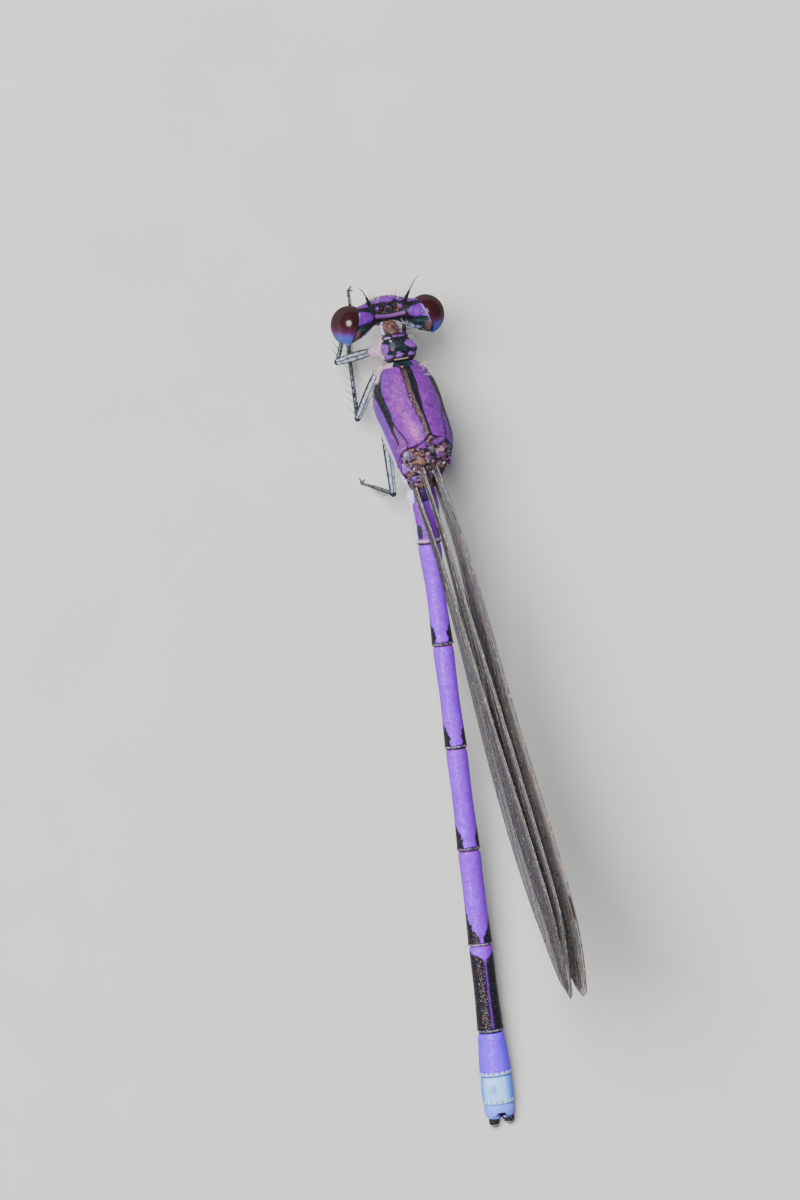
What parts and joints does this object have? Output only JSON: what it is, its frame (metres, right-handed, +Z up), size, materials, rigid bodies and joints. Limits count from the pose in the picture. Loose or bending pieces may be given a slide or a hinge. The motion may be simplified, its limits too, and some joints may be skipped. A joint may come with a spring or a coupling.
{
  "type": "damselfly model",
  "caption": "Life-size still model of a slender violet damselfly at rest, wings folded over its back, standing on its feet and tail tip.",
  "frame": {"origin": "centre of the animal's bounding box, on the floor that its feet and tail tip rest on", "axes": "+Z up, +Y towards the tail along the body's length, +X to the animal's left"},
  "size_m": [0.0046, 0.0326, 0.0093],
  "materials": {
    "head_shell": "violet and black cuticle, satin",
    "thorax_shell": "mauve violet cuticle with black stripes, satin",
    "abdomen_violet": "bright violet cuticle with black rings, satin",
    "tail_blue": "pale sky-blue cuticle, satin",
    "eyes": "glossy dark maroon, violet-blue below",
    "wing_membrane": "clear smoky membrane with dark veins",
    "leg_shell": "dark cuticle with pale stripes",
    "horn": "dark cuticle"
  },
  "bodies": {
    "root": {"head": "head_shell", "eye_left": "eyes", "eye_right": "eyes", "antenna_left": "horn", "antenna_right": "horn", "prothorax": "thorax_shell", "thorax": "thorax_shell", "abdomen_9_10": "tail_blue", "abdomen_1_2": "abdomen_violet", "abdomen_3": "abdomen_violet", "abdomen_4": "abdomen_violet", "abdomen_5": "abdomen_violet", "abdomen_6": "abdomen_violet", "abdomen_7": "abdomen_violet", "abdomen_8": "abdomen_violet", "wing_fore_left": "wing_membrane", "wing_fore_right": "wing_membrane", "wing_hind_left": "wing_membrane", "wing_hind_right": "wing_membrane", "leg_fore_left": "leg_shell", "leg_fore_right": "leg_shell", "leg_mid_left": "leg_shell", "leg_mid_right": "leg_shell", "leg_hind_left": "leg_shell", "leg_hind_right": "leg_shell"}
  },
  "joints": []
}
